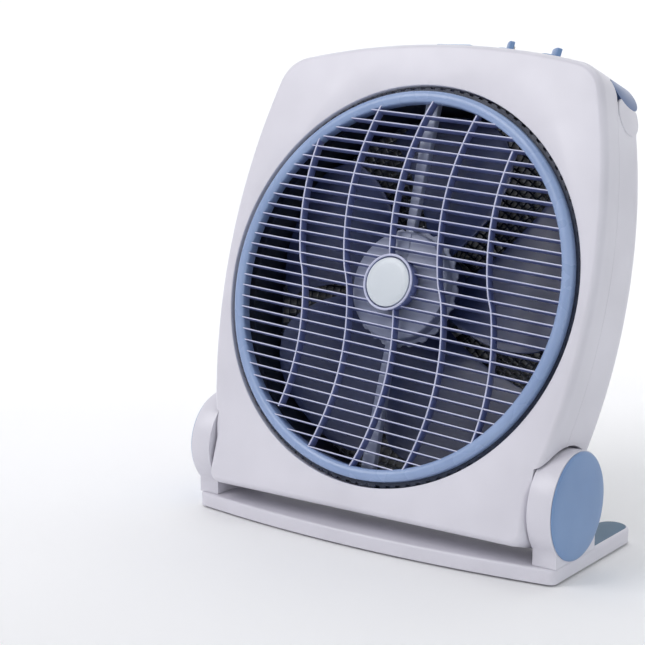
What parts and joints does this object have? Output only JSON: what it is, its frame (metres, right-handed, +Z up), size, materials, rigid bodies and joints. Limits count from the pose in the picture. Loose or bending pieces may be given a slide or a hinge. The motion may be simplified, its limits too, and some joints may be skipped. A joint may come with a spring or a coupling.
{
  "type": "box fan",
  "caption": "Square box fan that leans between two side pivots on a low U-shaped stand, with a turning louvre grille, knobs, a push button and a pull-up carrying handle.",
  "frame": {"origin": "on the floor, under the middle of the bounding box", "axes": "+Z up, the fan blows towards -Y, +X is the right-hand side of a person who stands in front of the fan and looks at its grille"},
  "size_m": [0.418, 0.2147, 0.4752],
  "materials": {
    "shell_white": "satin moulded ABS, pale lavender-white",
    "trim_blue": "satin moulded ABS, steel blue",
    "grille_blue": "satin moulded ABS, pale blue-violet",
    "disc_pale": "satin moulded ABS, pale grey-white",
    "blade_tint": "glossy dark blue-violet moulded blades",
    "guard_dark": "matte dark moulded guard",
    "panel_cream": "matte cream control panel",
    "inlay_grey": "matte blue-grey soft inlay",
    "black_plastic": "matte black moulded plastic",
    "rubber": "black rubber",
    "nylon": "natural nylon",
    "steel": "zinc-plated steel",
    "winding": "enamelled copper winding on a steel core",
    "lamination": "stacked electrical steel"
  },
  "bodies": {
    "stand": {"base": "shell_white", "foot_inlay_left": "inlay_grey", "foot_inlay_right": "inlay_grey", "pillar_left": "shell_white", "pillar_right": "shell_white", "pivot_cap_left": "trim_blue", "pivot_cap_right": "trim_blue", "pivot_bolt_left": "steel", "pivot_bolt_right": "steel", "pivot_nut_left": "steel", "pivot_nut_right": "steel", "rubber_foot_front_left": "rubber", "rubber_foot_front_right": "rubber", "rubber_foot_rear_left": "rubber", "rubber_foot_rear_right": "rubber"},
    "fan_body": {"front_shell": "shell_white", "rear_shell": "shell_white", "handle_guide_left": "shell_white", "handle_guide_right": "shell_white", "grille_bracket": "disc_pale", "grille_bracket_cover": "disc_pale", "grille_gear_motor": "steel", "motor_front_bell": "shell_white", "motor_rear_bell": "shell_white", "motor_stator": "winding", "motor_bearing_front": "steel", "motor_bearing_rear": "steel", "rear_guard": "guard_dark", "control_panel": "panel_cream", "control_box": "black_plastic", "speed_switch": "black_plastic", "timer_unit": "nylon", "swing_switch": "black_plastic", "motor_capacitor": "nylon", "terminal_block": "nylon", "cord_gland": "black_plastic", "case_screw_1": "steel", "case_screw_2": "steel", "case_screw_3": "steel", "case_screw_4": "steel", "friction_washer_left": "nylon", "friction_washer_right": "nylon"},
    "carry_handle": {"handle": "trim_blue"},
    "grille": {"louvre_grille": "grille_blue", "grille_cap": "disc_pale", "grille_shaft": "steel"},
    "rotor": {"fan_rotor": "blade_tint", "motor_rotor": "lamination", "motor_shaft": "steel", "blade_nut": "black_plastic"},
    "speed_control": {"speed_knob": "trim_blue", "speed_shaft": "nylon"},
    "timer_control": {"timer_knob": "trim_blue", "timer_shaft": "nylon"},
    "button": {"swing_button": "trim_blue"}
  },
  "joints": [
    {"name": "tilt", "type": "hinge", "parent": "stand", "child": "fan_body", "pos_m": [0, -0.0506, 0.0657], "axis": [1, 0, 0], "range_deg": [-12, 17.5]},
    {"name": "grille_turn", "type": "hinge", "parent": "fan_body", "child": "grille", "pos_m": [0, -0.04175, 0.24638], "axis": [0, 0.9532, -0.3024], "continuous": true},
    {"name": "fan_spin", "type": "hinge", "parent": "fan_body", "child": "rotor", "pos_m": [0, -0.04175, 0.24638], "axis": [0, 0.9532, -0.3024], "continuous": true},
    {"name": "speed_turn", "type": "hinge", "parent": "fan_body", "child": "speed_control", "pos_m": [0.113, 0.05909, 0.45514], "axis": [0.1413, 0.2993, 0.9436], "range_deg": [-120, 0]},
    {"name": "timer_turn", "type": "hinge", "parent": "fan_body", "child": "timer_control", "pos_m": [0.064, 0.06074, 0.46034], "axis": [0.08, 0.3014, 0.9501], "range_deg": [-300, 0]},
    {"name": "swing_press", "type": "slide", "parent": "fan_body", "child": "button", "axis": [0.0144, 0.3023, 0.9531], "range_m": [-0.0025, 0], "stiffness_N_per_m": 300, "springref_m": 0.004},
    {"name": "handle_pull", "type": "slide", "parent": "fan_body", "child": "carry_handle", "axis": [0, 0.3024, 0.9532], "range_m": [0, 0.022]}
  ]
}
